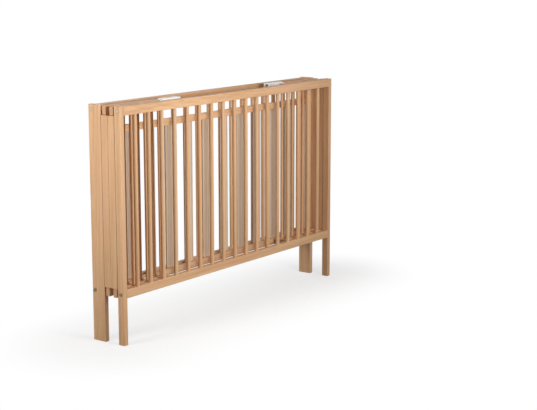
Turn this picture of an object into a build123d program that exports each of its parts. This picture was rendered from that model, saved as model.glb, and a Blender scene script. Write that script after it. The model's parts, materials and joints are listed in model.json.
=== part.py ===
"""Folding beech crib, folded up for storage: two barred sides, two hinged ends, slatted base.

Millimetres. X runs along the crib, the front side faces -Y, and Z is up from the floor.
The origin is under the middle of the folded crib, on the floor.
"""

import os

from build123d import *

# Overall sizes
crib_length = 1245.0
post_height = 811.0
rail_below_post_top = 2.0
lower_rail_underside = 162.5

# Posts and the stiles that carry the hinge pins
post_thickness = 18.3
front_post_depth = 27.0
back_post_depth = 55.5
stile_depth = 29.6
stile_closing_gap = 0.8
stile_rail_gap = 1.4
post_edge_round = 1.6
stile_edge_round = 0.8
foot_chamfer = 1.5

# Rails and bars of the two long sides
rail_height = 30.0
side_rail_depth = 21.5
rail_recess = 0.5
rail_edge_round = 1.8
side_bar_diameter = 15.5
bar_seat_depth = 10.0
bar_seat_clearance = 0.05
side_bar_count = 17
bar_to_post_gap = 56.5

# End leaves
leaf_rail_thickness = 16.0
pivot_from_post = 13.5
leaf_reach = 260.0
leaf_bar_diameter = 12.0
leaf_bar_count = 3
leaf_bar_pitch = 71.2
last_bar_to_link = 31.5

# Pivot pins at the posts
pivot_pin_diameter = 8.0
pivot_pin_seat = 22.0
pin_end_clearance = 0.5
running_clearance = 0.08
fixed_clearance = 0.02
washer_diameter = 14.0
washer_play = 0.2

# Link plates in the middle of each end
link_thickness = 5.0
link_slot_clearance = 0.3
link_from_inner_face = 9.5
link_pin_diameter = 6.0
link_pin_tail = 8.0

# Lock caps
cap_tail = 37.0
cap_grip = 37.0
cap_wall = 4.6
cap_side_clearance = 0.4
cap_top_thickness = 4.6
cap_top_clearance = 0.4
cap_skirt = 17.0
cap_ear_radius = 9.0
cap_pin_diameter = 5.0
cap_pin_drop = 8.0
cap_edge_round = 1.2

# Slatted base
base_rail_height = 24.0
base_rail_thickness = 14.0
base_rail_end_gap = 3.2
base_front_gap = 8.9
base_underside = 168.5
base_pin_from_underside = 16.0
slat_count = 12
slat_width = 45.0
slat_thickness = 7.0
slat_end_margin = 31.0
slat_tip_margin = 2.0
slat_edge_round = 1.5
base_pin_diameter = 8.0
base_pin_seat = 11.0
base_pin_reach = 25.0
rest_peg_diameter = 8.0
rest_peg_reach = 9.0
rest_peg_seat = 8.0
rest_peg_chamfer = 1.0
rest_peg_below_base = 0.5

# Fasteners of the side frames
screw_cap_diameter = 14.0
screw_cap_thickness = 2.4
screw_cap_dome = 0.5
bolt_diameter = 6.0
bolt_length = 58.0
bolt_head_diameter = 13.0
bolt_head_height = 4.0
socket_width = 4.0
socket_depth = 2.0
bolt_inset_front = 12.5
bolt_inset_back = 13.0
upper_bolt_below_top = 15.0
lower_bolt_above_underside = 15.0
nut_diameter = 10.0
nut_length = 15.0
nut_from_rail_end = 35.0
nut_slot_width = 1.2
nut_slot_depth = 1.0

# Places worked out from the sizes above
half_length = crib_length / 2
inner_half_length = half_length - post_thickness
rail_top_height = post_height - rail_below_post_top
fold_depth = front_post_depth + back_post_depth + 2 * stile_depth + stile_closing_gap
front_face = -fold_depth / 2
back_face = fold_depth / 2
front_post_inner = front_face + front_post_depth
back_post_inner = back_face - back_post_depth
upper_inner_face = rail_top_height - rail_height
lower_inner_face = lower_rail_underside + rail_height
stile_top = upper_inner_face - stile_rail_gap
stile_bottom = lower_inner_face + stile_rail_gap
side_bar_radius = side_bar_diameter / 2
leaf_bar_radius = leaf_bar_diameter / 2
last_bar_x = inner_half_length - bar_to_post_gap - side_bar_radius
bar_pitch = 2 * last_bar_x / (side_bar_count - 1)
bar_places = [bar_pitch * number - last_bar_x for number in range(side_bar_count)]
post_pivot_x = half_length - post_thickness / 2
link_pivot_x = post_pivot_x - leaf_reach
pivot_y = {
    "front": front_post_inner + pivot_from_post,
    "back": back_post_inner - pivot_from_post,
}
link_pitch = pivot_y["back"] - pivot_y["front"]
leaf_half = leaf_rail_thickness / 2
ends = {"left": -1, "right": 1}
cap_side = {"left": "front", "right": "back"}
upper_bolt_z = rail_top_height - upper_bolt_below_top
lower_bolt_z = lower_rail_underside + lower_bolt_above_underside
bolt_y = {"front": front_face + bolt_inset_front, "back": back_face - bolt_inset_back}
side_rail_y = {
    "front": front_face + rail_recess + side_rail_depth / 2,
    "back": back_face - rail_recess - side_rail_depth / 2,
}
post_y = {
    "front": front_face + front_post_depth / 2,
    "back": back_face - back_post_depth / 2,
}
post_depth = {"front": front_post_depth, "back": back_post_depth}
inward = {"front": 1, "back": -1}
rail_inner_y = {
    side: side_rail_y[side] + inward[side] * side_rail_depth / 2 for side in side_rail_y
}
nut_x = inner_half_length - nut_from_rail_end
stile_y = {
    "front": front_post_inner + stile_depth / 2,
    "back": back_post_inner - stile_depth / 2,
}
cap_pin_x = link_pivot_x + cap_tail - cap_ear_radius
cap_pin_z = rail_top_height - cap_pin_drop
base_pin_y = back_post_inner + base_rail_thickness / 2
base_pin_z = base_underside + base_pin_from_underside
base_rail_half = inner_half_length - base_rail_end_gap
opening_travel = 2 * leaf_reach
opened_stile_y = front_post_inner + stile_depth - opening_travel
base_depth = base_pin_y + base_pin_from_underside - opened_stile_y - base_front_gap
opened_base_edge_y = base_pin_y - (base_depth - base_rail_height / 2 - base_pin_from_underside)
rest_peg_x = post_pivot_x - (opened_base_edge_y - pivot_y["front"] + opening_travel)
rest_peg_z = base_pin_z - (base_rail_thickness + rest_peg_diameter) / 2 - rest_peg_below_base

os.makedirs("parts", exist_ok=True)


def save(part, name):
    """Label a finished piece and write it to its own file."""
    part.label = name
    export_step(part, f"parts/{name}.step")


def end_plane(end, x):
    """Plane across the crib at x, facing outwards at that end, with its own Y up."""
    return Plane(origin=(end * x, 0, 0), x_dir=(0, end, 0), z_dir=(end, 0, 0))


def make_post(side, end):
    """Corner post with the holes of its two bolts and the seat of the screw cap."""
    with BuildPart() as post:
        with BuildSketch():
            with Locations((end * post_pivot_x, post_y[side])):
                RectangleRounded(post_thickness, post_depth[side], post_edge_round)
        extrude(amount=post_height)
        fillet(post.faces().sort_by(Axis.Z)[-1].edges(), post_edge_round / 2)
        chamfer(post.faces().sort_by(Axis.Z)[0].edges(), foot_chamfer)
        with BuildSketch(end_plane(end, half_length)):
            with Locations((end * bolt_y[side], upper_bolt_z), (end * bolt_y[side], lower_bolt_z)):
                Circle(bolt_diameter / 2 + fixed_clearance)
        extrude(amount=-post_thickness, mode=Mode.SUBTRACT)
        with BuildSketch(end_plane(end, half_length)):
            with Locations((end * bolt_y[side], upper_bolt_z)):
                Circle(screw_cap_diameter / 2 + fixed_clearance)
        extrude(amount=-(screw_cap_thickness + bolt_head_height), mode=Mode.SUBTRACT)
        if side == "back":
            with BuildSketch(end_plane(end, inner_half_length)):
                with Locations((end * base_pin_y, base_pin_z)):
                    Circle(base_pin_diameter / 2 + fixed_clearance)
            extrude(amount=base_pin_seat, mode=Mode.SUBTRACT)
    return post.part


def make_side_rail(side, low, seats_up):
    """Long rail between two posts, with blind seats for the bars on one face."""
    seat_face = low + rail_height if seats_up else low
    seat_step = -bar_seat_depth if seats_up else bar_seat_depth
    bolt_reach = bolt_length - (post_thickness - screw_cap_thickness - bolt_head_height)
    bolt_z = lower_bolt_z if seats_up else upper_bolt_z
    with BuildPart() as rail:
        with BuildSketch(end_plane(1, -inner_half_length)):
            with Locations((side_rail_y[side], low + rail_height / 2)):
                RectangleRounded(side_rail_depth, rail_height, rail_edge_round)
        extrude(amount=2 * inner_half_length)
        with BuildSketch(Plane.XY.offset(seat_face)):
            with Locations(*[(x, side_rail_y[side]) for x in bar_places]):
                Circle(side_bar_radius + bar_seat_clearance)
        extrude(amount=seat_step, mode=Mode.SUBTRACT)
        for end in ends.values():
            with BuildSketch(end_plane(end, inner_half_length)):
                with Locations((end * bolt_y[side], bolt_z)):
                    Circle(bolt_diameter / 2 + fixed_clearance)
            extrude(amount=-bolt_reach, mode=Mode.SUBTRACT)
        nut_seat = (rail_inner_y[side] - bolt_y[side]) * inward[side] + nut_length / 2
        with BuildSketch(Plane.XZ.offset(-rail_inner_y[side])):
            with Locations(*[(end * nut_x, bolt_z) for end in ends.values()]):
                Circle(nut_diameter / 2 + fixed_clearance)
        extrude(amount=inward[side] * nut_seat, mode=Mode.SUBTRACT)
    return rail.part


def make_bars(places, y, radius):
    """Round bars from the lower rail to the upper rail, each end in its seat."""
    seat = bar_seat_depth - bar_seat_clearance
    with BuildPart() as bars:
        with BuildSketch(Plane.XY.offset(lower_inner_face - seat)):
            with Locations(*[(x, y) for x in places]):
                Circle(radius)
        extrude(amount=upper_inner_face - lower_inner_face + 2 * seat)
    return bars.part


def make_stile(side, end):
    """Board beside the post, with a pin hole in its top and bottom end."""
    with BuildPart() as stile:
        with BuildSketch(Plane.XY.offset(stile_bottom)):
            with Locations((end * post_pivot_x, stile_y[side])):
                RectangleRounded(post_thickness, stile_depth, stile_edge_round)
        extrude(amount=stile_top - stile_bottom)
        for height, step in ((stile_top, -pivot_pin_seat), (stile_bottom, pivot_pin_seat)):
            with BuildSketch(Plane.XY.offset(height)):
                with Locations((end * post_pivot_x, pivot_y[side])):
                    Circle(pivot_pin_diameter / 2 + fixed_clearance)
            extrude(amount=step, mode=Mode.SUBTRACT)
    return stile.part


def make_pivot_pins(side):
    """Four pins, from the stiles into the ends of the leaf rails."""
    length = 2 * (pivot_pin_seat - pin_end_clearance) + stile_rail_gap
    with BuildPart() as pins:
        for low in (
            upper_inner_face + pivot_pin_seat - pin_end_clearance - length,
            lower_inner_face - pivot_pin_seat + pin_end_clearance,
        ):
            with BuildSketch(Plane.XY.offset(low)):
                with Locations(*[(end * post_pivot_x, pivot_y[side]) for end in ends.values()]):
                    Circle(pivot_pin_diameter / 2)
            extrude(amount=length)
    return pins.part


def make_washers(side):
    """Four washers between the stile ends and the leaf rails."""
    thickness = stile_rail_gap - washer_play
    with BuildPart() as washers:
        for low in (stile_top, stile_bottom - thickness):
            with BuildSketch(Plane.XY.offset(low)):
                with Locations(*[(end * post_pivot_x, pivot_y[side]) for end in ends.values()]):
                    Circle(washer_diameter / 2)
                    Circle(pivot_pin_diameter / 2 + running_clearance, mode=Mode.SUBTRACT)
            extrude(amount=thickness)
    return washers.part


def make_leaf_rail(side, end, upper, has_cap, has_peg):
    """Leaf rail: square pinned end at the post, slotted and rounded end at the link."""
    out = 1 if upper else -1
    inner_face = upper_inner_face if upper else lower_inner_face
    low = inner_face if upper else lower_rail_underside
    y = pivot_y[side]
    reach = leaf_reach + leaf_half
    middle_x = end * (post_pivot_x + leaf_half - reach / 2)
    slot_height = link_thickness + 2 * link_slot_clearance
    slot_z = inner_face + out * link_from_inner_face
    slot_back = leaf_half + link_slot_clearance
    pin_depth = link_from_inner_face + link_thickness / 2 + link_pin_tail
    with BuildPart() as rail:
        with BuildSketch(Plane.XY.offset(low)):
            with Locations((middle_x, y)):
                Rectangle(reach, leaf_rail_thickness)
            with Locations((end * link_pivot_x, y)):
                Circle(leaf_half)
        extrude(amount=rail_height)
        upright_corners = rail.edges().filter_by(Axis.Z).sort_by(Axis.X)
        post_corners = upright_corners[:2] if end < 0 else upright_corners[-2:]
        fillet(post_corners, rail_edge_round)
        fillet(rail.faces().sort_by(Axis.Z)[-1].edges(), rail_edge_round)
        fillet(rail.faces().sort_by(Axis.Z)[0].edges(), rail_edge_round)
        with BuildSketch(Plane.XY.offset(inner_face)):
            with Locations(*[(x, y) for x in leaf_bar_places(end)]):
                Circle(leaf_bar_radius + bar_seat_clearance)
        extrude(amount=out * bar_seat_depth, mode=Mode.SUBTRACT)
        with BuildSketch(Plane.XY.offset(inner_face)):
            with Locations((end * post_pivot_x, y)):
                Circle(pivot_pin_diameter / 2 + running_clearance)
        extrude(amount=out * pivot_pin_seat, mode=Mode.SUBTRACT)
        with BuildSketch(Plane.XY.offset(slot_z)):
            with Locations((end * (link_pivot_x + slot_back - reach / 2), y)):
                Rectangle(reach, 2 * leaf_rail_thickness)
        extrude(amount=slot_height / 2, both=True, mode=Mode.SUBTRACT)
        with BuildSketch(Plane.XY.offset(inner_face)):
            with Locations((end * link_pivot_x, y)):
                Circle(link_pin_diameter / 2 + running_clearance)
        extrude(amount=out * pin_depth, mode=Mode.SUBTRACT)
        if has_cap:
            with BuildSketch(Plane.XZ.offset(-y)):
                with Locations((end * cap_pin_x, cap_pin_z)):
                    Circle(cap_pin_diameter / 2 + running_clearance)
            extrude(amount=leaf_rail_thickness, both=True, mode=Mode.SUBTRACT)
        if has_peg:
            with BuildSketch(Plane.XZ.offset(-(y - leaf_half))):
                with Locations((end * rest_peg_x, rest_peg_z)):
                    Circle(rest_peg_diameter / 2 + fixed_clearance)
            extrude(amount=-rest_peg_seat, mode=Mode.SUBTRACT)
    return rail.part


def leaf_bar_places(end):
    """Distances along the crib of the bars in an end leaf, on its own end."""
    first = link_pivot_x + last_bar_to_link
    return [end * (first + leaf_bar_pitch * number) for number in range(leaf_bar_count)]


def make_rest_peg(end):
    """Short peg on a front leaf that carries the front edge of the opened base."""
    leaf_face = pivot_y["front"] - leaf_half
    with BuildPart() as peg:
        with BuildSketch(Plane.XZ.offset(-(leaf_face + rest_peg_seat - fixed_clearance))):
            with Locations((end * rest_peg_x, rest_peg_z)):
                Circle(rest_peg_diameter / 2)
        extrude(amount=rest_peg_seat + rest_peg_reach)
        chamfer(peg.faces().sort_by(Axis.Y)[0].edges(), rest_peg_chamfer)
    return peg.part


def make_link(end, upper):
    """Flat plate with two pin holes, across the ends of the two leaf rails."""
    out = 1 if upper else -1
    inner_face = upper_inner_face if upper else lower_inner_face
    z = inner_face + out * link_from_inner_face
    with BuildPart() as link:
        with BuildSketch(Plane.XY.offset(z - link_thickness / 2)):
            with Locations((end * link_pivot_x, (pivot_y["front"] + pivot_y["back"]) / 2)):
                SlotCenterToCenter(link_pitch, leaf_rail_thickness, rotation=90)
            with Locations(*[(end * link_pivot_x, y) for y in pivot_y.values()]):
                Circle(link_pin_diameter / 2 + fixed_clearance, mode=Mode.SUBTRACT)
        extrude(amount=link_thickness)
    return link.part


def make_link_pins(end):
    """Four pins that hold the link plates in the slotted rail ends."""
    length = link_from_inner_face + link_thickness / 2 + link_pin_tail - 2 * pin_end_clearance
    upper_low = upper_inner_face + pin_end_clearance
    lower_low = lower_inner_face - pin_end_clearance - length
    with BuildPart() as pins:
        for low in (upper_low, lower_low):
            with BuildSketch(Plane.XY.offset(low)):
                with Locations(*[(end * link_pivot_x, y) for y in pivot_y.values()]):
                    Circle(link_pin_diameter / 2)
            extrude(amount=length)
    return pins.part


def make_lock_cap(end):
    """Channel that drops over the joint of an open end, with ears for its cross pin."""
    y = pivot_y[cap_side[end]]
    sign = ends[end]
    width = leaf_rail_thickness + 2 * (cap_side_clearance + cap_wall)
    free_x = link_pivot_x - link_pitch - cap_grip
    skirt_low = rail_top_height - cap_skirt
    plate_low = rail_top_height + cap_top_clearance
    plate_high = plate_low + cap_top_thickness
    plate_start = cap_pin_x - (plate_low - cap_pin_z) - cap_top_clearance
    with BuildPart() as cap:
        with BuildSketch(Plane.XZ.offset(-(y + width / 2))):
            with Locations((sign * (cap_pin_x + free_x) / 2, (skirt_low + plate_low) / 2)):
                Rectangle(cap_pin_x - free_x, plate_low - skirt_low)
            with Locations((sign * cap_pin_x, (skirt_low + plate_low) / 2)):
                Circle((plate_low - skirt_low) / 2)
            with Locations((sign * (plate_start + free_x) / 2, (skirt_low + plate_high) / 2)):
                Rectangle(plate_start - free_x, plate_high - skirt_low)
        extrude(amount=width)
        fillet(cap.faces().sort_by(Axis.Z)[-1].edges(), cap_edge_round)
        with BuildSketch(end_plane(sign, free_x)):
            with Locations((sign * y, (skirt_low + plate_low) / 2)):
                Rectangle(leaf_rail_thickness + 2 * cap_side_clearance, plate_low - skirt_low)
        extrude(amount=2 * (cap_pin_x - free_x), mode=Mode.SUBTRACT)
        with BuildSketch(Plane.XZ.offset(-(y + width / 2))):
            with Locations((sign * cap_pin_x, cap_pin_z)):
                Circle(cap_pin_diameter / 2 + fixed_clearance)
        extrude(amount=width, mode=Mode.SUBTRACT)
    return cap.part


def make_cap_pin(end):
    """Cross pin of a lock cap, through both ears and the leaf rail."""
    y = pivot_y[cap_side[end]]
    length = leaf_rail_thickness + 2 * (cap_side_clearance + cap_wall)
    with BuildPart() as pin:
        with BuildSketch(Plane.XZ.offset(-(y + length / 2))):
            with Locations((ends[end] * cap_pin_x, cap_pin_z)):
                Circle(cap_pin_diameter / 2)
        extrude(amount=length)
    return pin.part


def make_base_rail(low):
    """Long rail under the slats, as wide as the room between the posts allows."""
    with BuildPart() as rail:
        with BuildSketch(end_plane(1, -base_rail_half)):
            with Locations((base_pin_y, low + base_rail_height / 2)):
                RectangleRounded(base_rail_thickness, base_rail_height, rail_edge_round)
        extrude(amount=2 * base_rail_half)
        if low == base_underside:
            for end in ends.values():
                with BuildSketch(end_plane(end, base_rail_half)):
                    with Locations((end * base_pin_y, base_pin_z)):
                        Circle(base_pin_diameter / 2 + running_clearance)
                extrude(amount=-base_pin_reach, mode=Mode.SUBTRACT)
    return rail.part


def make_slats():
    """Slats across the two base rails, seated on their rear faces."""
    y = back_post_inner + base_rail_thickness + slat_thickness / 2
    first = -half_length + slat_end_margin + slat_width / 2
    pitch = -2 * first / (slat_count - 1)
    with BuildPart() as slats:
        with BuildSketch(Plane.XY.offset(base_underside + slat_tip_margin)):
            with Locations(*[(first + pitch * number, y) for number in range(slat_count)]):
                RectangleRounded(slat_width, slat_thickness, slat_edge_round)
        extrude(amount=base_depth - 2 * slat_tip_margin)
    return slats.part


def make_base_pins():
    """Pins of the base, from the back posts into the ends of its lower rail."""
    outer_end = base_pin_seat - pin_end_clearance
    inner_end = base_rail_end_gap + base_pin_reach - pin_end_clearance
    with BuildPart() as pins:
        for end in ends.values():
            with BuildSketch(end_plane(end, inner_half_length + outer_end)):
                with Locations((end * base_pin_y, base_pin_z)):
                    Circle(base_pin_diameter / 2)
            extrude(amount=-(outer_end + inner_end))
    return pins.part


def make_screw_caps(side):
    """Two flat caps over the upper bolts, on the end faces."""
    with BuildPart() as caps:
        for end in ends.values():
            with BuildSketch(end_plane(end, half_length - screw_cap_thickness)):
                with Locations((end * bolt_y[side], upper_bolt_z)):
                    Circle(screw_cap_diameter / 2)
            extrude(amount=screw_cap_thickness + screw_cap_dome)
        fillet(caps.faces().sort_by(Axis.X)[0].edges(), screw_cap_dome)
        fillet(caps.faces().sort_by(Axis.X)[-1].edges(), screw_cap_dome)
    return caps.part


def make_bolts(side, z, head_x):
    """Two bolts, one at each end, with the underside of the head at head_x."""
    head_round = bolt_head_height / 2
    with BuildPart() as bolts:
        for end in ends.values():
            with BuildSketch(end_plane(end, head_x)):
                with Locations((end * bolt_y[side], z)):
                    Circle(bolt_diameter / 2)
            extrude(amount=-bolt_length)
            with BuildSketch(end_plane(end, head_x)):
                with Locations((end * bolt_y[side], z)):
                    Circle(bolt_head_diameter / 2)
            extrude(amount=bolt_head_height)
        fillet(bolts.faces().sort_by(Axis.X)[0].edges(), head_round)
        fillet(bolts.faces().sort_by(Axis.X)[-1].edges(), head_round)
        for end in ends.values():
            with BuildSketch(end_plane(end, head_x + bolt_head_height)):
                with Locations((end * bolt_y[side], z)):
                    RegularPolygon(socket_width / 2, 6, major_radius=False)
            extrude(amount=-socket_depth, mode=Mode.SUBTRACT)
    return bolts.part


def make_barrel_nuts(side):
    """Four cross nuts in the rails, each around the end of a bolt, with a slot to turn it."""
    inner_end = bolt_y[side] + inward[side] * nut_length / 2
    with BuildPart() as nuts:
        for z in (upper_bolt_z, lower_bolt_z):
            with BuildSketch(Plane.XZ.offset(-inner_end)):
                with Locations(*[(end * nut_x, z) for end in ends.values()]):
                    Circle(nut_diameter / 2)
            extrude(amount=inward[side] * nut_length)
            with BuildSketch(Plane.XZ.offset(-inner_end)):
                with Locations(*[(end * nut_x, z) for end in ends.values()]):
                    Rectangle(nut_diameter, nut_slot_width)
            extrude(amount=inward[side] * nut_slot_depth, mode=Mode.SUBTRACT)
            with BuildSketch(end_plane(1, -inner_half_length)):
                with Locations((bolt_y[side], z)):
                    Circle(bolt_diameter / 2 + fixed_clearance)
            extrude(amount=2 * inner_half_length, mode=Mode.SUBTRACT)
    return nuts.part


# The two long sides
for side in ("front", "back"):
    save(make_side_rail(side, upper_inner_face, seats_up=False), f"{side}_top_rail")
    save(make_side_rail(side, lower_rail_underside, seats_up=True), f"{side}_bottom_rail")
    save(make_bars(bar_places, side_rail_y[side], side_bar_radius), f"{side}_bars")
    save(make_pivot_pins(side), f"{side}_pivot_pins")
    save(make_washers(side), f"{side}_pivot_washers")
    save(make_screw_caps(side), f"{side}_screw_caps")
    upper_head_x = half_length - screw_cap_thickness - bolt_head_height
    save(make_bolts(side, upper_bolt_z, upper_head_x), f"{side}_upper_bolts")
    save(make_bolts(side, lower_bolt_z, half_length), f"{side}_lower_bolts")
    save(make_barrel_nuts(side), f"{side}_barrel_nuts")
    for end_name, end_sign in ends.items():
        save(make_post(side, end_sign), f"{side}_{end_name}_post")
        save(make_stile(side, end_sign), f"{side}_{end_name}_stile")

# The four end leaves
for end_name, end_sign in ends.items():
    for side in ("front", "back"):
        leaf = f"{end_name}_{side}_leaf"
        carries_cap = side == cap_side[end_name]
        carries_peg = side == "front"
        save(make_leaf_rail(side, end_sign, True, carries_cap, False), f"{leaf}_top_rail")
        save(make_leaf_rail(side, end_sign, False, False, carries_peg), f"{leaf}_bottom_rail")
        bars = make_bars(leaf_bar_places(end_sign), pivot_y[side], leaf_bar_radius)
        save(bars, f"{leaf}_bars")
    save(make_rest_peg(end_sign), f"{end_name}_base_rest_peg")

# The links and lock caps in the middle of each end
for end_name, end_sign in ends.items():
    save(make_link(end_sign, True), f"{end_name}_upper_link")
    save(make_link(end_sign, False), f"{end_name}_lower_link")
    save(make_link_pins(end_sign), f"{end_name}_link_pins")
    save(make_lock_cap(end_name), f"{end_name}_lock_cap")
    save(make_cap_pin(end_name), f"{end_name}_lock_cap_pin")

# The slatted base, folded up
save(make_base_rail(base_underside), "base_rear_rail")
save(make_base_rail(base_underside + base_depth - base_rail_height), "base_front_rail")
save(make_slats(), "base_slats")
save(make_base_pins(), "base_pivot_pins")
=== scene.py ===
"""Dresses the folded beech crib: its wood, steel and plastic finishes, slat screws, light and camera.

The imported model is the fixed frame, in metres. X runs along the crib, the front side faces -Y and Z is
up. The file is laid out as an add-on: property groups hold the sizes and colours, operators do the
work, and a sidebar panel lists both.
"""

import json
import math

import bpy
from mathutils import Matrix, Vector


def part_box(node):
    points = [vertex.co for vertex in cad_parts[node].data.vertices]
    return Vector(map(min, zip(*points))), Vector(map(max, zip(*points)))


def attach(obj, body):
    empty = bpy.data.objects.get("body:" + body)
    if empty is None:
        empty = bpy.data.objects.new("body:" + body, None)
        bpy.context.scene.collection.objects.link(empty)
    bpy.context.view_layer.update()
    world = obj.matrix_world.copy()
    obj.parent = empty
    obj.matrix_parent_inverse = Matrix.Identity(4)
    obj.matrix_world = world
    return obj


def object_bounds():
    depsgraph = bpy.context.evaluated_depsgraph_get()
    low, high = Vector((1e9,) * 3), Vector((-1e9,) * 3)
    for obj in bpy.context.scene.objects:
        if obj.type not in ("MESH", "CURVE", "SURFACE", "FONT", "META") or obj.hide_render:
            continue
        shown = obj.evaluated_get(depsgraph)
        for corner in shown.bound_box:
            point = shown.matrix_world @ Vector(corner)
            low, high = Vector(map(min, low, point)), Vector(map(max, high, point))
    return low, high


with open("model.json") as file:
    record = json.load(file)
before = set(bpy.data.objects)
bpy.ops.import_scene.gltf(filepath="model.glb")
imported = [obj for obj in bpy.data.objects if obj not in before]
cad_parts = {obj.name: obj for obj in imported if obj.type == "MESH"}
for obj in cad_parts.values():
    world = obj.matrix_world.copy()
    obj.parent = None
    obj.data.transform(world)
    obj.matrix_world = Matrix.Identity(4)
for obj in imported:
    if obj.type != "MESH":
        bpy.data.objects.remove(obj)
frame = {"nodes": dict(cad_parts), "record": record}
cad_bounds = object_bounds()

bl_info = {
    "name": "Folding crib",
    "version": (1, 0, 0),
    "blender": (4, 5, 0),
    "location": "View3D > Sidebar > Crib",
    "description": "Finishes, slat screws, light and camera for a folding beech crib",
    "category": "Object",
}

ENDS = ("left", "right")
SIDES = ("front", "back")
LEVELS = ("top", "bottom")
WHITE = (1.0, 1.0, 1.0, 1.0)
SENSOR_WIDTH_MM = 36.0

# Waves per metre of each pattern in the wood: twice across the grain, then along it
DRIFT_WAVES = (9.0, 9.0, 1.3)
BROAD_WAVES = (85.0, 85.0, 1.9)
FINE_WAVES = (620.0, 620.0, 14.0)
VENEER_WAVES = (480.0, 480.0, 9.0)

# Where each lamp stands and aims, its edge in metres, its watts and the spread of its beam in degrees
LAMPS = {
    "end_lamp": {
        "place": (-2.4, 0.35, 1.05), "aim": (-0.62, 0.0, 0.90), "size": 0.8, "power": 6.9, "spread": 84,
    },
    "front_lamp": {
        "place": (-0.48, -2.3, 1.05), "aim": (-0.26, 0.0, 0.88), "size": 0.9, "power": 11.5, "spread": 88,
    },
    "back_lamp": {
        "place": (1.6, 2.8, 1.8), "aim": (0.0, 0.0, 0.5), "size": 1.6, "power": 10.0, "spread": 160,
    },
}


def paint(red, green, blue):
    """Linear colour with alpha, by the sRGB curve, from the 0 to 255 values that a screen shows."""
    linear = [((value / 255 + 0.055) / 1.055) ** 2.4 for value in (red, green, blue)]
    return (*linear, 1.0)


def colour_setting(name, description, screen_colour):
    """Colour that a user can change, with its default given as a screen shows it."""
    return bpy.props.FloatVectorProperty(
        name=name, description=description, subtype="COLOR", size=4, min=0, max=1,
        default=paint(*screen_colour),
    )


def length_setting(name, description, metres):
    """Length in metres that a user can change."""
    return bpy.props.FloatProperty(
        name=name, description=description, default=metres, min=0, unit="LENGTH", precision=5
    )


def share_setting(name, description, share):
    """Amount from 0 to 1 that a user can change."""
    return bpy.props.FloatProperty(name=name, description=description, default=share, min=0, max=1)


class CribWood(bpy.types.PropertyGroup):
    """Colours and grain sizes of the beech boards and bars and of the plywood slats."""

    beech_light: colour_setting("Beech light", "Early wood of the beech", (232, 191, 149))
    beech_dark: colour_setting("Beech dark", "Late wood of the beech", (211, 165, 121))
    beech_pink: colour_setting("Beech pink", "Warm drift in the beech", (229, 181, 143))
    beech_fleck: colour_setting("Beech fleck", "Short rays in the beech", (158, 108, 70))
    end_grain: colour_setting("End grain", "Sawn ends of the boards", (196, 148, 104))
    slat_light: colour_setting("Slat light", "Pale veneer of the slats", (235, 215, 192))
    slat_dark: colour_setting("Slat dark", "Darker streaks of the slats", (212, 188, 162))
    # Painted shade: colour of the dark line that stands for the shade in the thin gap between each stile
    # and its post
    painted_gap_shade: colour_setting("Joint shade", "Line where two upright boards meet", (122, 84, 54))
    glue_line: colour_setting("Glue line", "Joint between two veneers", (122, 92, 66))
    ring_spacing: length_setting("Ring spacing", "Width of one growth ring", 0.0042)
    ring_wander: length_setting("Ring wander", "How far the rings stray along a board", 0.009)
    fleck_width: length_setting("Fleck width", "Width of the cell of one fleck", 0.0013)
    fleck_length: length_setting("Fleck length", "Length of the cell of one fleck", 0.0060)
    ply_thickness: length_setting("Ply thickness", "Thickness of one veneer of a slat", 0.0014)
    end_depth: length_setting("End depth", "How deep the sawn ends look darker", 0.0007)
    # Half width of the painted gap shade line
    gap_shade_half_width: length_setting("Joint line", "Half the width of the dark line along a joint", 0.0016)
    late_wood_share: share_setting("Late wood", "How strongly the rings show", 0.38)
    pink_share: share_setting("Pink share", "How strongly the warm drift shows", 0.55)
    fleck_share: share_setting("Fleck share", "How strongly the flecks show", 0.42)
    end_share: share_setting("End share", "How strongly the sawn ends show", 0.60)
    # Strength of the painted gap shade line
    gap_shade_share: share_setting("Joint share", "How strongly the joint lines show", 0.80)
    flame_share: share_setting("Flame share", "How much of a slat's figure is broad bands", 0.42)
    board_tilt: bpy.props.FloatProperty(
        name="Board tilt", description="Largest angle between the rings and a board",
        default=math.radians(2.2), subtype="ANGLE",
    )


class CribHardware(bpy.types.PropertyGroup):
    """Colours of the steel and plastic pieces and sizes of the slat screws."""

    steel: colour_setting("Steel", "Zinc plated steel", (160, 146, 124))
    steel_dull: colour_setting("Dull steel", "Handled and stained zinc", (92, 79, 62))
    lock_white: colour_setting("Lock white", "White plastic of the lock caps", (240, 240, 238))
    lock_shade: colour_setting("Lock shade", "Handled plastic of the lock caps", (222, 222, 218))
    # Painted shade at the rim and painted highlight in the middle of each screw cover, as on a dome; the
    # rim colour also gives the speckle
    disc_rim_shade_and_speckle: colour_setting("Disc rim", "Rim of the screw covers", (176, 150, 118))
    disc_middle_highlight: colour_setting("Disc middle", "Middle of the screw covers", (216, 192, 162))
    # Washer colours: a real part, painted dark brown as the shade of the thin gap it sits in
    fibre: colour_setting("Fibre", "Pressed fibre of the washers", (112, 78, 52))
    washer_shade_pale: colour_setting("Pale fibre", "Paler threads of the washers", (138, 102, 72))
    screw_head_diameter: length_setting("Screw head", "Diameter of a slat screw's head", 0.0072)
    screw_head_height: length_setting("Head height", "Height of a slat screw's head", 0.0018)
    screw_cross_length: length_setting("Cross length", "Length of the cross recess", 0.0042)
    screw_cross_width: length_setting("Cross width", "Width of the cross recess", 0.0009)
    screw_cross_depth: length_setting("Cross depth", "Depth of the cross recess", 0.0011)
    slat_width: length_setting("Slat width", "Width of one slat of the base", 0.045)
    slat_count: bpy.props.IntProperty(
        name="Slats", description="Number of slats in the base", default=12, min=2
    )
    side_bar_count: bpy.props.IntProperty(
        name="Side bars", description="Number of bars in a long side", default=17, min=2
    )
    leaf_bar_count: bpy.props.IntProperty(
        name="Leaf bars", description="Number of bars in an end leaf", default=3, min=2
    )


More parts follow.
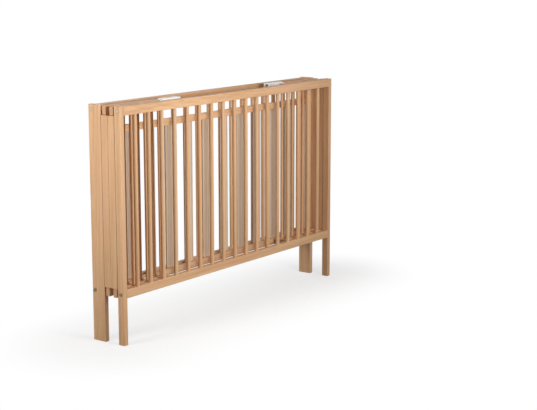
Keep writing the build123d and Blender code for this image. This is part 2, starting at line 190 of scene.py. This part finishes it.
class CribStage(bpy.types.PropertyGroup):
    """Camera, lamps, world and floor around the crib."""

    camera_place: bpy.props.FloatVectorProperty(
        name="Camera place", description="Where the camera stands", default=(-3.767, -2.979, 1.290),
        unit="LENGTH",
    )
    camera_pitch: bpy.props.FloatProperty(
        name="Camera pitch", description="Angle of the camera from straight down",
        default=math.radians(79.29), subtype="ANGLE",
    )
    camera_turn: bpy.props.FloatProperty(
        name="Camera turn", description="Angle of the camera about the upright",
        default=math.radians(-53.73), subtype="ANGLE",
    )
    camera_lens: bpy.props.FloatProperty(
        name="Camera lens", description="Focal length in millimetres on a 36 mm sensor",
        default=87.95,
    )
    floor_colour: colour_setting("Floor", "Colour of the floor", (184, 184, 185))
    floor_tooth: colour_setting("Floor tooth", "Fine darker tooth of the floor", (181, 181, 182))
    floor_bounce: colour_setting("Floor bounce", "Floor colour that lights the crib", (120, 117, 112))
    floor_glow: share_setting("Floor glow", "White that the camera sees on top of the lit floor", 0.62)
    floor_size: length_setting("Floor size", "Edge of the square floor", 60.0)
    floor_fade_start: length_setting("Fade start", "Distance where the floor starts to turn white", 0.03)
    floor_fade_end: length_setting("Fade end", "Distance from which the floor is all white", 0.44)
    key_direction: bpy.props.FloatVectorProperty(
        name="Key direction", description="Where most of the world's light comes from",
        default=(-0.45, -0.88, 0.10), subtype="DIRECTION",
    )
    around_light: bpy.props.FloatProperty(
        name="Light around", description="Strength of the world away from the key direction",
        default=0.11,
    )
    key_light: bpy.props.FloatProperty(
        name="Key light", description="Strength that the key direction adds", default=0.33
    )


def settings(name):
    """Property group of that name on the current scene."""
    return getattr(bpy.context.scene, name)


def deselect_all():
    """Leave edit mode and select nothing."""
    if bpy.context.object and bpy.context.object.mode != "OBJECT":
        bpy.ops.object.mode_set(mode="OBJECT")
    bpy.ops.object.select_all(action="DESELECT")


def add_node(tree, kind, inputs=None, **options):
    """Add one node, set its options, and fill or link its inputs by name or number."""
    node = tree.nodes.new(kind)
    for option, value in options.items():
        setattr(node, option, value)
    for socket_name, value in (inputs or {}).items():
        socket = node.inputs[socket_name]
        if isinstance(value, bpy.types.NodeSocket):
            tree.links.new(value, socket)
        else:
            socket.default_value = value
    return node


def calculate(tree, operation, first, second=0.5, third=0.5, clamp=False):
    """One Math node: its value."""
    inputs = {0: first, 1: second, 2: third}
    return add_node(
        tree, "ShaderNodeMath", inputs, operation=operation, use_clamp=clamp
    ).outputs["Value"]


def stretch(tree, place, factors):
    """Coordinates multiplied axis by axis."""
    return add_node(
        tree, "ShaderNodeVectorMath", {0: place, 1: factors}, operation="MULTIPLY"
    ).outputs["Vector"]


def soft_step(tree, value, low, high):
    """0 below low, 1 above high, smooth between; falls where high is under low."""
    inputs = {"Value": value, "From Min": low, "From Max": high}
    return add_node(
        tree, "ShaderNodeMapRange", inputs, interpolation_type="SMOOTHSTEP"
    ).outputs["Result"]


def blend_colours(tree, amount, first, second, blend="MIX"):
    """Second colour laid over the first by an amount."""
    # A Mix node has sockets for every data type: 6, 7 and output 2 are its colours
    inputs = {0: amount, 6: first, 7: second}
    return add_node(tree, "ShaderNodeMix", inputs, data_type="RGBA", blend_type=blend).outputs[2]


def noise(tree, place, scale, detail):
    """Noise texture: its node."""
    inputs = {"Vector": place, "Scale": scale, "Detail": detail}
    return add_node(tree, "ShaderNodeTexNoise", inputs)


def start_finish(name):
    """Empty material with its node tree, principled shader and object coordinates."""
    material = bpy.data.materials.new(name)
    material.use_nodes = True
    tree = material.node_tree
    tree.nodes.clear()
    shader = add_node(tree, "ShaderNodeBsdfPrincipled")
    output = add_node(tree, "ShaderNodeOutputMaterial")
    tree.links.new(shader.outputs["BSDF"], output.inputs["Surface"])
    place = add_node(tree, "ShaderNodeTexCoord").outputs["Object"]
    return material, tree, shader, place


def raise_surface(tree, shader, height, strength, distance):
    """Bump on the shader's normal from a height."""
    inputs = {"Height": height, "Strength": strength, "Distance": distance}
    bump = add_node(tree, "ShaderNodeBump", inputs)
    tree.links.new(bump.outputs["Normal"], shader.inputs["Normal"])


def set_roughness(tree, shader, pattern, smooth, rough):
    """Roughness that follows a pattern from its smooth to its rough places."""
    roughness = calculate(tree, "MULTIPLY_ADD", pattern, rough - smooth, smooth)
    tree.links.new(roughness, shader.inputs["Roughness"])


def finish_node(node_name, material):
    """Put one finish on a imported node."""
    mesh = frame["nodes"][node_name].data
    mesh.materials.clear()
    mesh.materials.append(material)


def grain_place(tree, place, along, centre, number):
    """Coordinates with Z along the grain, centred on a board whose pith lies outside it."""
    wood = settings("crib_wood")
    turned = {"X": (0, math.radians(-90), 0), "Z": (0, 0, 0)}[along]
    centred = add_node(tree, "ShaderNodeVectorMath", {0: place, 1: centre}, operation="SUBTRACT")
    upright = add_node(
        tree, "ShaderNodeMapping", {"Vector": centred.outputs["Vector"], "Rotation": turned}
    )
    nearest_pith, pith_step, cuts_per_log = 0.045, 0.012, 4
    golden_angle = math.radians(137.5)
    cut_spacing = 0.73
    pith_distance = nearest_pith + pith_step * (number % cuts_per_log)
    pith = (
        pith_distance * math.cos(golden_angle * number),
        pith_distance * math.sin(golden_angle * number),
        cut_spacing * number,
    )
    tilt_step = 1.7
    tilt = wood.board_tilt * math.cos(tilt_step * number)
    return add_node(
        tree, "ShaderNodeMapping",
        {"Vector": upright.outputs["Vector"], "Location": pith, "Rotation": (tilt, tilt / 2, 0)},
    ).outputs["Vector"]


def beech_pattern(tree, shader, grain, tone):
    """Beech on the shader: wandering rings, fine streaks, short flecks and a slow warm drift."""
    wood = settings("crib_wood")
    drift = noise(tree, stretch(tree, grain, DRIFT_WAVES), scale=1.0, detail=1.0)
    wander = wood.ring_wander
    strayed = add_node(
        tree, "ShaderNodeVectorMath",
        {0: drift.outputs["Color"], 1: (wander, wander, 0), 2: grain}, operation="MULTIPLY_ADD",
    ).outputs["Vector"]
    wave_length_at_scale_1 = math.pi / 10
    rings = add_node(
        tree, "ShaderNodeTexWave",
        {"Vector": strayed, "Scale": wave_length_at_scale_1 / wood.ring_spacing, "Distortion": 0.7,
         "Detail": 2.0, "Detail Scale": 0.6},
        wave_type="RINGS", rings_direction="Z", wave_profile="SAW",
    ).outputs["Fac"]
    ring_sharpness = 3.0
    late_wood = calculate(tree, "POWER", rings, ring_sharpness)
    broad = noise(tree, stretch(tree, grain, BROAD_WAVES), scale=1.0, detail=3.0).outputs["Fac"]
    fine = noise(tree, stretch(tree, grain, FINE_WAVES), scale=1.0, detail=2.0).outputs["Fac"]
    broad_share = 0.60
    streaks = calculate(
        tree, "MULTIPLY_ADD", broad, broad_share, calculate(tree, "MULTIPLY", fine, 1 - broad_share)
    )
    streaks_shown = soft_step(tree, streaks, low=0.36, high=0.68)
    darkness = calculate(
        tree, "MULTIPLY_ADD", late_wood, wood.late_wood_share, streaks_shown, clamp=True
    )
    colour = blend_colours(tree, darkness, wood.beech_light, wood.beech_dark)
    pink = soft_step(tree, drift.outputs["Fac"], low=0.42, high=0.66)
    pink = calculate(tree, "MULTIPLY", pink, wood.pink_share)
    colour = blend_colours(tree, pink, colour, wood.beech_pink)
    across = 1 / wood.fleck_width
    cells = add_node(
        tree, "ShaderNodeTexVoronoi",
        {"Vector": stretch(tree, grain, (across, across, 1 / wood.fleck_length)), "Scale": 1.0},
    )
    flecks = soft_step(tree, cells.outputs["Distance"], low=0.30, high=0.14)
    fleck_colour = calculate(tree, "MULTIPLY", flecks, wood.fleck_share)
    colour = blend_colours(tree, fleck_colour, colour, wood.beech_fleck)
    colour = blend_colours(tree, 1.0, colour, tone, "MULTIPLY")
    set_roughness(tree, shader, soft_step(tree, streaks, low=0.0, high=1.0), smooth=0.44, rough=0.58)
    shader.inputs["Specular IOR Level"].default_value = 0.32
    height = calculate(tree, "SUBTRACT", calculate(tree, "MULTIPLY", fine, 0.5), flecks)
    raise_surface(tree, shader, height, strength=0.22, distance=0.00025)
    return colour


def darken_ends(tree, place, along, low, high, colour):
    """Sawn ends a little darker than the sides of the board."""
    wood = settings("crib_wood")
    position = add_node(tree, "ShaderNodeSeparateXYZ", {"Vector": place}).outputs[along]
    near_low = soft_step(tree, position, low + wood.end_depth, low)
    near_high = soft_step(tree, position, high - wood.end_depth, high)
    ends = calculate(tree, "ADD", near_low, near_high, clamp=True)
    return blend_colours(tree, calculate(tree, "MULTIPLY", ends, wood.end_share), colour, wood.end_grain)


def paint_gap_shade(tree, place, side, end, colour):
    """Painted shade: a thin dark line for the shade in the narrow gap where a stile meets its post, as
    long as the stile.
    """
    wood = settings("crib_wood")
    low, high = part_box(f"{side}_{end}_stile")
    joint = {"front": low.y, "back": high.y}[side]
    parts = add_node(tree, "ShaderNodeSeparateXYZ", {"Vector": place}).outputs
    apart = calculate(tree, "ABSOLUTE", calculate(tree, "SUBTRACT", parts["Y"], joint))
    # Painted shade: darkest right on the gap between stile and post, fading over the half width
    line = soft_step(tree, apart, wood.gap_shade_half_width, wood.gap_shade_half_width / 3)
    taper = 0.002
    along = calculate(
        tree, "MULTIPLY", soft_step(tree, parts["Z"], low.z - taper, low.z),
        soft_step(tree, parts["Z"], high.z + taper, high.z),
    )
    line = calculate(tree, "MULTIPLY", calculate(tree, "MULTIPLY", line, along), wood.gap_shade_share)
    return blend_colours(tree, line, colour, wood.painted_gap_shade)


def board_finish(node_name, along, number, tone, joint=None):
    """Beech for one board, with its own cut of the grain; a post or stile also gets a painted shade line
    along the gap at its joint.
    """
    low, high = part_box(node_name)
    material, tree, shader, place = start_finish(f"beech_{node_name}")
    grain = grain_place(tree, place, along, tuple((low + high) / 2), number)
    colour = beech_pattern(tree, shader, grain, tone)
    axis = "XYZ".index(along)
    colour = darken_ends(tree, place, along, low[axis], high[axis], colour)
    # Posts and stiles get the painted shade line of their gap
    if joint:
        colour = paint_gap_shade(tree, place, *joint, colour)
    tree.links.new(colour, shader.inputs["Base Color"])
    finish_node(node_name, material)


def row_place(tree, place, node_name, count, piece_width):
    """Coordinates of each piece in a row along X from its own middle, and a random value for it."""
    low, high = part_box(node_name)
    pitch = (high.x - low.x - piece_width) / (count - 1)
    first = low.x + piece_width / 2
    parts = add_node(tree, "ShaderNodeSeparateXYZ", {"Vector": place}).outputs
    steps = calculate(tree, "DIVIDE", calculate(tree, "SUBTRACT", parts["X"], first), pitch)
    number = calculate(tree, "ROUND", steps)
    own_x = calculate(tree, "MULTIPLY", calculate(tree, "SUBTRACT", steps, number), pitch)
    own_y = calculate(tree, "SUBTRACT", parts["Y"], (low.y + high.y) / 2)
    own = add_node(tree, "ShaderNodeCombineXYZ", {"X": own_x, "Y": own_y, "Z": parts["Z"]})
    row_seed = low.y + 20.0
    chance = add_node(
        tree, "ShaderNodeTexWhiteNoise", {"W": calculate(tree, "ADD", number, row_seed)},
        noise_dimensions="1D",
    )
    return own.outputs["Vector"], chance.outputs["Color"], chance.outputs["Value"]


def bar_finish(node_name, count):
    """Beech for a row of round bars, each with its own grain and its own tone."""
    low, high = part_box(node_name)
    diameter = high.y - low.y
    material, tree, shader, place = start_finish(f"beech_{node_name}")
    own, chance_place, chance = row_place(tree, place, node_name, count, diameter)
    spacing = (0.11, 0.11, 3.0)
    grain = add_node(
        tree, "ShaderNodeVectorMath", {0: chance_place, 1: spacing, 2: own}, operation="MULTIPLY_ADD"
    ).outputs["Vector"]
    warm, cool = paint(255, 247, 238), paint(250, 255, 255)
    tone = blend_colours(tree, chance, warm, cool)
    colour = beech_pattern(tree, shader, grain, tone)
    tree.links.new(colour, shader.inputs["Base Color"])
    finish_node(node_name, material)


def slat_finish(node_name, count, width):
    """Pale plywood for the slats: quiet veneer on the faces, glue lines on the edges."""
    wood = settings("crib_wood")
    low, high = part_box(node_name)
    material, tree, shader, place = start_finish("slat_plywood")
    own, chance_place, chance = row_place(tree, place, node_name, count, width)
    spacing = (0.5, 0.5, 3.0)
    grain = add_node(
        tree, "ShaderNodeVectorMath", {0: chance_place, 1: spacing, 2: own}, operation="MULTIPLY_ADD"
    ).outputs["Vector"]
    drawn_out = (1.0, 1.0, 0.045)
    flame = add_node(
        tree, "ShaderNodeTexWave",
        {"Vector": stretch(tree, grain, drawn_out), "Scale": 34.0, "Distortion": 5.0,
         "Detail": 2.0, "Detail Scale": 0.8},
        wave_type="BANDS", bands_direction="X",
    ).outputs["Fac"]
    fine = noise(tree, stretch(tree, grain, VENEER_WAVES), scale=1.0, detail=3.0).outputs["Fac"]
    fine_shown = calculate(tree, "MULTIPLY", fine, 1 - wood.flame_share)
    figure = calculate(tree, "MULTIPLY_ADD", flame, wood.flame_share, fine_shown)
    colour = blend_colours(
        tree, soft_step(tree, figure, low=0.22, high=0.74), wood.slat_light, wood.slat_dark
    )
    warm, cool = paint(255, 250, 244), paint(246, 247, 250)
    tone = blend_colours(tree, chance, warm, cool)
    colour = blend_colours(tree, 1.0, colour, tone, "MULTIPLY")
    depth = add_node(tree, "ShaderNodeSeparateXYZ", {"Vector": place}).outputs["Y"]
    plies = calculate(tree, "DIVIDE", calculate(tree, "SUBTRACT", depth, low.y), wood.ply_thickness)
    within_ply = calculate(tree, "FRACT", plies)
    from_middle = calculate(tree, "ABSOLUTE", calculate(tree, "SUBTRACT", within_ply, 0.5))
    glue = soft_step(tree, from_middle, low=0.42, high=0.48)
    face_start, face_end = 0.0004, 0.0006
    inside = calculate(
        tree, "MULTIPLY", soft_step(tree, depth, low.y + face_start, low.y + face_end),
        soft_step(tree, depth, high.y - face_start, high.y - face_end),
    )
    colour = blend_colours(tree, calculate(tree, "MULTIPLY", glue, inside), colour, wood.glue_line)
    tree.links.new(colour, shader.inputs["Base Color"])
    set_roughness(tree, shader, figure, smooth=0.48, rough=0.60)
    shader.inputs["Specular IOR Level"].default_value = 0.30
    raise_surface(tree, shader, fine, strength=0.16, distance=0.0002)
    finish_node(node_name, material)


def steel_finish():
    """Zinc plated steel with fine scratches and dull patches."""
    hardware = settings("crib_hardware")
    material, tree, shader, place = start_finish("zinc_steel")
    patches = noise(tree, place, scale=260.0, detail=3.0).outputs["Fac"]
    scratch_waves = (900.0, 900.0, 5200.0)
    scratches = noise(tree, stretch(tree, place, scratch_waves), scale=1.0, detail=2.0).outputs["Fac"]
    dull = soft_step(tree, patches, low=0.40, high=0.64)
    colour = blend_colours(tree, dull, hardware.steel, hardware.steel_dull)
    tree.links.new(colour, shader.inputs["Base Color"])
    shader.inputs["Metallic"].default_value = 1.0
    set_roughness(tree, shader, patches, smooth=0.20, rough=0.50)
    raise_surface(tree, shader, scratches, strength=0.12, distance=0.00008)
    return material


def lock_plastic_finish():
    """White moulded plastic, faintly grained, with the dull places that hands leave."""
    hardware = settings("crib_hardware")
    material, tree, shader, place = start_finish("lock_plastic")
    clouds = noise(tree, place, scale=55.0, detail=3.0).outputs["Fac"]
    skin = noise(tree, place, scale=2400.0, detail=2.0).outputs["Fac"]
    handled = soft_step(tree, clouds, low=0.46, high=0.70)
    colour = blend_colours(tree, handled, hardware.lock_white, hardware.lock_shade)
    tree.links.new(colour, shader.inputs["Base Color"])
    set_roughness(tree, shader, clouds, smooth=0.24, rough=0.44)
    raise_surface(tree, shader, skin, strength=0.10, distance=0.00006)
    return material


def washer_shade_finish():
    """The real washers, painted dark brown with paler threads so they show as the painted shade of the
    thin gap where they sit.
    """
    hardware = settings("crib_hardware")
    material, tree, shader, place = start_finish("washer_painted_shade")
    thread_waves = (900.0, 2600.0, 900.0)
    threads = noise(tree, stretch(tree, place, thread_waves), scale=1.0, detail=3.0).outputs["Fac"]
    # Painted shade: the washers are as dark as the shade in their gap
    colour = blend_colours(tree, threads, hardware.fibre, hardware.washer_shade_pale)
    tree.links.new(colour, shader.inputs["Base Color"])
    shader.inputs["Roughness"].default_value = 0.8
    raise_surface(tree, shader, threads, strength=0.2, distance=0.00008)
    return material


def cover_finish(node_name):
    """Beige moulded discs over the upper bolts, with painted shade toward the rim and a painted highlight
    in the middle, as on a domed cap; the rim colour also gives the speckle.
    """
    hardware = settings("crib_hardware")
    low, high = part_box(node_name)
    material, tree, shader, place = start_finish(f"cover_{node_name}")
    centred = add_node(
        tree, "ShaderNodeVectorMath", {0: place, 1: tuple((low + high) / 2)}, operation="SUBTRACT"
    ).outputs["Vector"]
    across_face = (0.0, 1.0, 1.0)
    distance = add_node(
        tree, "ShaderNodeVectorMath", {0: stretch(tree, centred, across_face)}, operation="LENGTH"
    ).outputs["Value"]
    radius = (high.z - low.z) / 2
    rim_start, rim_full = 0.52, 0.80
    # Painted shade toward the rim and painted highlight in the middle, as on a domed cover
    rim = soft_step(tree, distance, radius * rim_start, radius * rim_full)
    speckle = noise(tree, place, scale=1800.0, detail=2.0).outputs["Fac"]
    speckle_colour, speckle_height = 0.12, 0.06
    colour = blend_colours(tree, rim, hardware.disc_middle_highlight, hardware.disc_rim_shade_and_speckle)
    colour = blend_colours(
        tree, calculate(tree, "MULTIPLY", speckle, speckle_colour), colour, hardware.disc_rim_shade_and_speckle
    )
    tree.links.new(colour, shader.inputs["Base Color"])
    set_roughness(tree, shader, speckle, smooth=0.34, rough=0.49)
    height = calculate(tree, "SUBTRACT", calculate(tree, "MULTIPLY", speckle, speckle_height), rim)
    raise_surface(tree, shader, height, strength=0.35, distance=0.0003)
    finish_node(node_name, material)


class CRIB_OT_finish_posts(bpy.types.Operator):
    """Give each post and stile its own upright cut of beech"""

    bl_idname = "crib.finish_posts"
    bl_label = "Finish posts and stiles"

    def execute(self, context):
        tones = {"post": paint(255, 252, 250), "stile": paint(252, 249, 244)}
        number = 1
        for side in SIDES:
            for end in ENDS:
                for board, tone in tones.items():
                    board_finish(f"{side}_{end}_{board}", "Z", number, tone, joint=(side, end))
                    number += 1
        return {"FINISHED"}


class CRIB_OT_finish_rails(bpy.types.Operator):
    """Give each side rail, leaf rail and base rail its own lengthwise cut of beech"""

    bl_idname = "crib.finish_rails"
    bl_label = "Finish rails"

    def execute(self, context):
        rails = [f"{side}_{level}_rail" for side in SIDES for level in LEVELS]
        rails += [f"{end}_{side}_leaf_{level}_rail" for end in ENDS for side in SIDES for level in LEVELS]
        rails += ["base_rear_rail", "base_front_rail"]
        first_number = 11
        for number, rail in enumerate(rails, start=first_number):
            board_finish(rail, "X", number, tone=paint(255, 252, 250))
        return {"FINISHED"}


class CRIB_OT_finish_bars(bpy.types.Operator):
    """Give every round bar its own grain and tone of beech"""

    bl_idname = "crib.finish_bars"
    bl_label = "Finish bars"

    def execute(self, context):
        hardware = settings("crib_hardware")
        for side in SIDES:
            bar_finish(f"{side}_bars", hardware.side_bar_count)
            for end in ENDS:
                bar_finish(f"{end}_{side}_leaf_bars", hardware.leaf_bar_count)
        return {"FINISHED"}


class CRIB_OT_finish_slats(bpy.types.Operator):
    """Give the slats of the base their pale plywood"""

    bl_idname = "crib.finish_slats"
    bl_label = "Finish slats"

    def execute(self, context):
        hardware = settings("crib_hardware")
        slat_finish("base_slats", hardware.slat_count, hardware.slat_width)
        return {"FINISHED"}


class CRIB_OT_finish_hardware(bpy.types.Operator):
    """Give the bolts, pins, links, lock caps, covers and washers their metal and plastic"""

    bl_idname = "crib.finish_hardware"
    bl_label = "Finish hardware"

    def execute(self, context):
        finishes = {
            "steel": steel_finish(), "white_plastic": lock_plastic_finish(), "washer": washer_shade_finish(),
        }
        for subpart in frame["record"]["subparts"]:
            if subpart["material_slot"] in finishes:
                finish_node(subpart["node"], finishes[subpart["material_slot"]])
        for side in SIDES:
            cover_finish(f"{side}_screw_caps")
        return {"FINISHED"}


def make_screw_head():
    """One low domed screw head with a cross recess, facing +Z, its seat at the origin."""
    hardware = settings("crib_hardware")
    height = hardware.screw_head_height
    dome_share = 0.72
    deselect_all()
    bpy.ops.mesh.primitive_cylinder_add(
        vertices=28, radius=hardware.screw_head_diameter / 2, depth=height, location=(0, 0, height / 2)
    )
    head = bpy.context.object
    bpy.ops.object.mode_set(mode="EDIT")
    bpy.ops.mesh.select_all(action="DESELECT")
    bpy.ops.object.mode_set(mode="OBJECT")
    for edge in head.data.edges:
        edge.select = all(head.data.vertices[corner].co.z > 0 for corner in edge.vertices)
    bpy.ops.object.mode_set(mode="EDIT")
    bpy.ops.mesh.bevel(offset=height * dome_share, segments=5, profile=0.5, affect="EDGES")
    bpy.ops.object.mode_set(mode="OBJECT")
    for turn in (0, math.radians(90)):
        bpy.ops.object.select_all(action="DESELECT")
        bpy.ops.mesh.primitive_cube_add(size=1, location=(0, 0, height), rotation=(0, 0, turn))
        cutter = bpy.context.object
        cutter.scale = (
            hardware.screw_cross_length, hardware.screw_cross_width, 2 * hardware.screw_cross_depth,
        )
        bpy.ops.object.transform_apply(location=True, rotation=True, scale=True)
        bpy.ops.object.select_all(action="DESELECT")
        bpy.context.view_layer.objects.active = head
        head.select_set(True)
        cut = head.modifiers.new("cross", "BOOLEAN")
        cut.object = cutter
        cut.operation = "DIFFERENCE"
        bpy.ops.object.modifier_apply(modifier=cut.name)
        bpy.data.objects.remove(cutter, do_unlink=True)
    bpy.ops.object.select_all(action="DESELECT")
    head.select_set(True)
    bpy.ops.object.shade_smooth_by_angle(angle=math.radians(35))
    return head


class CRIB_OT_add_slat_screws(bpy.types.Operator):
    """Add one screw head where each slat crosses each base rail"""

    bl_idname = "crib.add_slat_screws"
    bl_label = "Add slat screws"

    def execute(self, context):
        hardware = settings("crib_hardware")
        low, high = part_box("base_slats")
        half_width = hardware.slat_width / 2
        pitch = (high.x - low.x - hardware.slat_width) / (hardware.slat_count - 1)
        turn_step = math.radians(37)
        steel = bpy.data.materials["zinc_steel"]
        for rail in ("base_rear_rail", "base_front_rail"):
            rail_low, rail_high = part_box(rail)
            height = (rail_low.z + rail_high.z) / 2
            head = make_screw_head()
            bpy.ops.object.select_all(action="DESELECT")
            heads = []
            for number in range(hardware.slat_count):
                copy = head.copy()
                copy.data = head.data.copy()
                bpy.context.collection.objects.link(copy)
                copy.rotation_euler = (math.radians(-90), turn_step * number, 0)
                copy.location = (low.x + half_width + pitch * number, high.y, height)
                copy.select_set(True)
                heads.append(copy)
            bpy.data.objects.remove(head, do_unlink=True)
            bpy.context.view_layer.objects.active = heads[0]
            bpy.ops.object.join()
            screws = bpy.context.object
            bpy.ops.object.transform_apply(location=True, rotation=True, scale=True)
            screws.name = rail.replace("rail", "screws")
            screws.data.materials.clear()
            screws.data.materials.append(steel)
            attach(screws, "back_side")
        return {"FINISHED"}


def shown_in_white(tree):
    """1 for what the camera, a gloss or a clear surface sees directly, else 0."""
    path = add_node(tree, "ShaderNodeLightPath").outputs
    seen = calculate(tree, "ADD", path["Is Camera Ray"], path["Is Glossy Ray"], clamp=True)
    return calculate(tree, "ADD", seen, path["Is Transmission Ray"], clamp=True)


def light_world(stage):
    """Soft light, strongest from the front and somewhat from the left, and a plain white background."""
    world = bpy.data.worlds.new("studio")
    bpy.context.scene.world = world
    world.use_nodes = True
    tree = world.node_tree
    tree.nodes.clear()
    direction = add_node(tree, "ShaderNodeTexCoord").outputs["Generated"]
    key = tuple(Vector(stage.key_direction).normalized())
    facing = add_node(
        tree, "ShaderNodeVectorMath", {0: direction, 1: key}, operation="DOT_PRODUCT"
    ).outputs["Value"]
    lobe = soft_step(tree, facing, low=-0.35, high=1.0)
    strength = calculate(tree, "MULTIPLY_ADD", lobe, stage.key_light, stage.around_light)
    soft = add_node(tree, "ShaderNodeBackground", {"Color": WHITE, "Strength": strength})
    white = add_node(tree, "ShaderNodeBackground", {"Color": WHITE, "Strength": 1.0})
    mixed = add_node(
        tree, "ShaderNodeMixShader",
        {0: shown_in_white(tree), 1: soft.outputs["Background"], 2: white.outputs["Background"]},
    )
    add_node(tree, "ShaderNodeOutputWorld", {"Surface": mixed.outputs["Shader"]})


def lay_floor(stage):
    """Plain pale floor that keeps the crib's soft shadow and is white further out."""
    deselect_all()
    bpy.ops.mesh.primitive_plane_add(size=stage.floor_size)
    floor = bpy.context.object
    floor.name = "floor"
    material = bpy.data.materials.new("floor_paper")
    material.use_nodes = True
    tree = material.node_tree
    tree.nodes.clear()
    place = add_node(tree, "ShaderNodeTexCoord").outputs["Object"]
    tooth = noise(tree, place, scale=140.0, detail=2.0).outputs["Fac"]
    colour = blend_colours(tree, tooth, stage.floor_colour, stage.floor_tooth)
    seen = shown_in_white(tree)
    lit = add_node(
        tree, "ShaderNodeBsdfDiffuse", {"Color": blend_colours(tree, seen, stage.floor_bounce, colour)}
    )
    glow = add_node(
        tree, "ShaderNodeEmission",
        {"Color": WHITE, "Strength": calculate(tree, "MULTIPLY", seen, stage.floor_glow)},
    )
    both = add_node(tree, "ShaderNodeAddShader", {0: lit.outputs["BSDF"], 1: glow.outputs["Emission"]})
    parts = add_node(tree, "ShaderNodeSeparateXYZ", {"Vector": place}).outputs
    half_length = cad_bounds[1][0]
    past_end = calculate(tree, "SUBTRACT", calculate(tree, "ABSOLUTE", parts["X"]), half_length)
    sideways = calculate(tree, "MAXIMUM", past_end, 0.0)
    away = add_node(tree, "ShaderNodeCombineXYZ", {"X": sideways, "Y": parts["Y"], "Z": 0.0})
    apart = add_node(
        tree, "ShaderNodeVectorMath", {0: away.outputs["Vector"]}, operation="LENGTH"
    ).outputs["Value"]
    fade = soft_step(tree, apart, stage.floor_fade_start, stage.floor_fade_end)
    white = add_node(tree, "ShaderNodeEmission", {"Color": WHITE, "Strength": 1.0})
    shown = add_node(
        tree, "ShaderNodeMixShader",
        {0: calculate(tree, "MULTIPLY", fade, seen), 1: both.outputs["Shader"],
         2: white.outputs["Emission"]},
    )
    add_node(tree, "ShaderNodeOutputMaterial", {"Surface": shown.outputs["Shader"]})
    floor.data.materials.append(material)


def add_lamp(name, place, aim, size, power, spread):
    """One square soft box that points at a place, its beam spread given in degrees."""
    deselect_all()
    bpy.ops.object.light_add(type="AREA", location=place)
    lamp = bpy.context.object
    lamp.name = name
    lamp.rotation_euler = (Vector(aim) - Vector(place)).to_track_quat("-Z", "Y").to_euler()
    lamp.data.shape = "SQUARE"
    lamp.data.size = size
    lamp.data.energy = power
    lamp.data.spread = math.radians(spread)


class CRIB_OT_set_stage(bpy.types.Operator):
    """Lay the floor, light it softly and stand the camera in its place"""

    bl_idname = "crib.set_stage"
    bl_label = "Set stage"

    def execute(self, context):
        stage = settings("crib_stage")
        context.scene.view_settings.view_transform = "Standard"
        light_world(stage)
        lay_floor(stage)
        for name, lamp in LAMPS.items():
            add_lamp(name, **lamp)
        deselect_all()
        bpy.ops.object.camera_add(
            location=stage.camera_place, rotation=(stage.camera_pitch, 0, stage.camera_turn)
        )
        camera = context.object
        camera.name = "camera"
        camera.data.sensor_width = SENSOR_WIDTH_MM
        camera.data.sensor_fit = "HORIZONTAL"
        camera.data.lens = stage.camera_lens
        context.scene.camera = camera
        return {"FINISHED"}


class CRIB_PT_dress(bpy.types.Panel):
    """Sidebar panel with the crib's operators and settings"""

    bl_idname = "CRIB_PT_dress"
    bl_label = "Folding crib"
    bl_space_type = "VIEW_3D"
    bl_region_type = "UI"
    bl_category = "Crib"

    def draw(self, context):
        for operator in OPERATORS:
            self.layout.operator(operator.bl_idname)
        for group in GROUPS:
            box = self.layout.box()
            for name in group.__annotations__:
                box.prop(settings(GROUPS[group]), name)


OPERATORS = (
    CRIB_OT_set_stage,
    CRIB_OT_finish_posts,
    CRIB_OT_finish_rails,
    CRIB_OT_finish_bars,
    CRIB_OT_finish_slats,
    CRIB_OT_finish_hardware,
    CRIB_OT_add_slat_screws,
)
GROUPS = {CribWood: "crib_wood", CribHardware: "crib_hardware", CribStage: "crib_stage"}


def register():
    """Add the property groups, operators and panel to Blender."""
    for group, name in GROUPS.items():
        bpy.utils.register_class(group)
        setattr(bpy.types.Scene, name, bpy.props.PointerProperty(type=group))
    for operator in OPERATORS:
        bpy.utils.register_class(operator)
    bpy.utils.register_class(CRIB_PT_dress)


def unregister():
    """Take the panel, operators and property groups away again."""
    bpy.utils.unregister_class(CRIB_PT_dress)
    for operator in reversed(OPERATORS):
        bpy.utils.unregister_class(operator)
    for group, name in reversed(GROUPS.items()):
        delattr(bpy.types.Scene, name)
        bpy.utils.unregister_class(group)


def main():
    """Dress the crib."""
    register()
    bpy.ops.crib.set_stage()
    bpy.ops.crib.finish_posts()
    bpy.ops.crib.finish_rails()
    bpy.ops.crib.finish_bars()
    bpy.ops.crib.finish_slats()
    bpy.ops.crib.finish_hardware()
    bpy.ops.crib.add_slat_screws()


if __name__ == "__main__":
    main()
